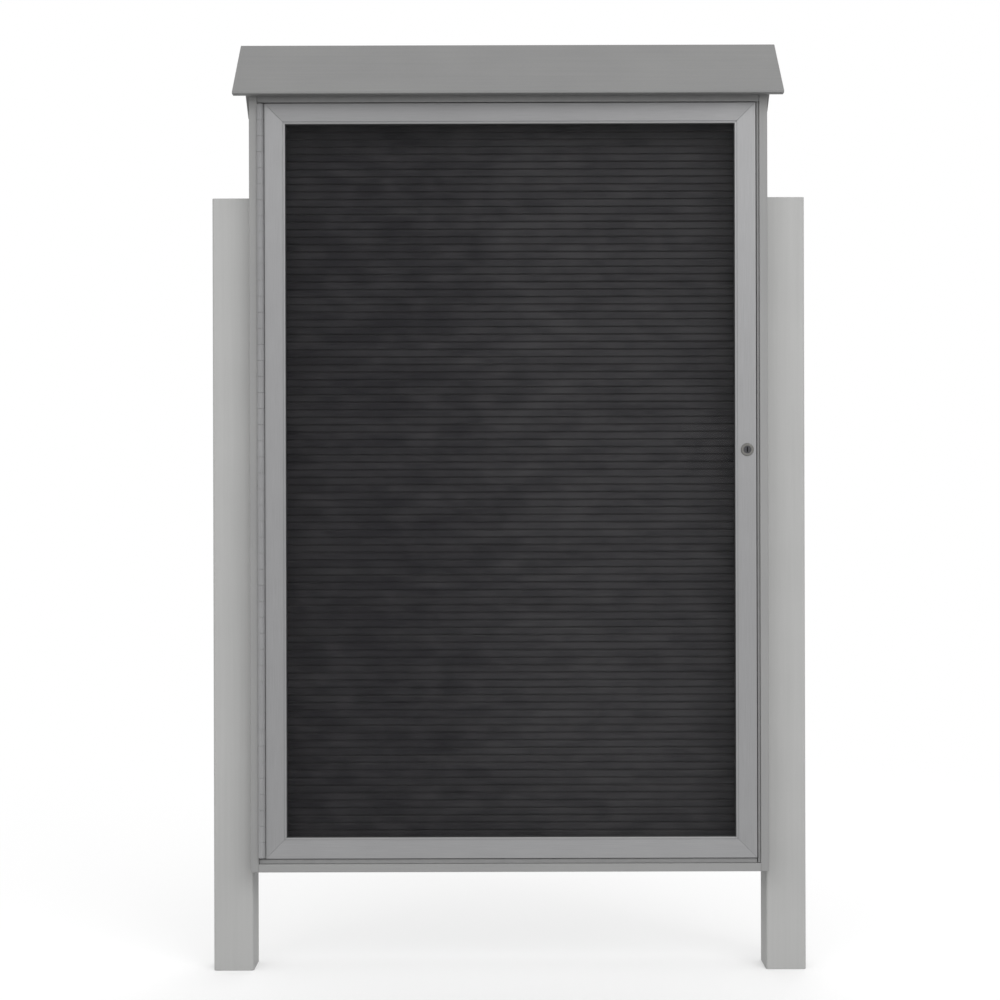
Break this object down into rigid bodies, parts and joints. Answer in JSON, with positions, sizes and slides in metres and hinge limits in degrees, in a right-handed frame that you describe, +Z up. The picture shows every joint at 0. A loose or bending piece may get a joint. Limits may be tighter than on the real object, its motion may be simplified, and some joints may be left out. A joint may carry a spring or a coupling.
{
  "type": "freestanding notice board",
  "caption": "Single-sided weatherproof notice board on square posts: gabled case, hinged glazed door with a cam lock, and a grooved letter board.",
  "frame": {"origin": "on the ground under the middle of the board, level with the feet of the posts", "axes": "+Z up, -Y out of the glazed front, +X to the right of a person facing the front"},
  "size_m": [0.9398, 0.21, 1.4759],
  "materials": {
    "plastic_lumber": "matte, moulded",
    "frame_aluminium": "satin anodised",
    "hinge_steel": "satin",
    "screw_steel": "satin",
    "letter_felt": "felt, slotted",
    "clear_acrylic": "clear",
    "black_rubber": "matte",
    "lock_nickel": "satin nickel",
    "lock_dark": "dark satin"
  },
  "bodies": {
    "stand": {"left_post": "plastic_lumber", "right_post": "plastic_lumber", "post_lag_screws": "screw_steel", "left_side_board": "plastic_lumber", "right_side_board": "plastic_lumber", "bottom_board": "plastic_lumber", "top_board": "plastic_lumber", "header_board": "plastic_lumber", "back_panel": "plastic_lumber", "front_roof_board": "plastic_lumber", "rear_roof_board": "plastic_lumber", "ridge_angle": "screw_steel", "roof_brackets": "screw_steel", "letter_board": "letter_felt", "left_door_stop": "plastic_lumber", "right_door_stop": "plastic_lumber", "bottom_door_stop": "plastic_lumber", "door_seal": "black_rubber", "hinge_case_leaf": "hinge_steel", "hinge_pin": "hinge_steel", "strike_plate": "screw_steel"},
    "door": {"door_hinge_stile": "frame_aluminium", "door_lock_stile": "frame_aluminium", "door_top_rail": "frame_aluminium", "door_bottom_rail": "frame_aluminium", "corner_keys": "frame_aluminium", "door_pane": "clear_acrylic", "glazing_gasket": "black_rubber", "hinge_door_leaf": "hinge_steel", "lock_housing": "lock_nickel", "lock_nut": "lock_nickel"},
    "lock_core": {"lock_plug": "lock_dark", "lock_cam": "lock_nickel", "cam_screw": "screw_steel"}
  },
  "joints": [
    {"name": "door_hinge", "type": "hinge", "parent": "stand", "child": "door", "pos_m": [-0.38835, -0.072, 0.77676], "axis": [0, 0, -1], "range_deg": [0, 180]},
    {"name": "lock_turn", "type": "hinge", "parent": "door", "child": "lock_core", "pos_m": [0.3737, -0.07, 0.8242], "axis": [0, -1, 0], "range_deg": [0, 90]}
  ]
}
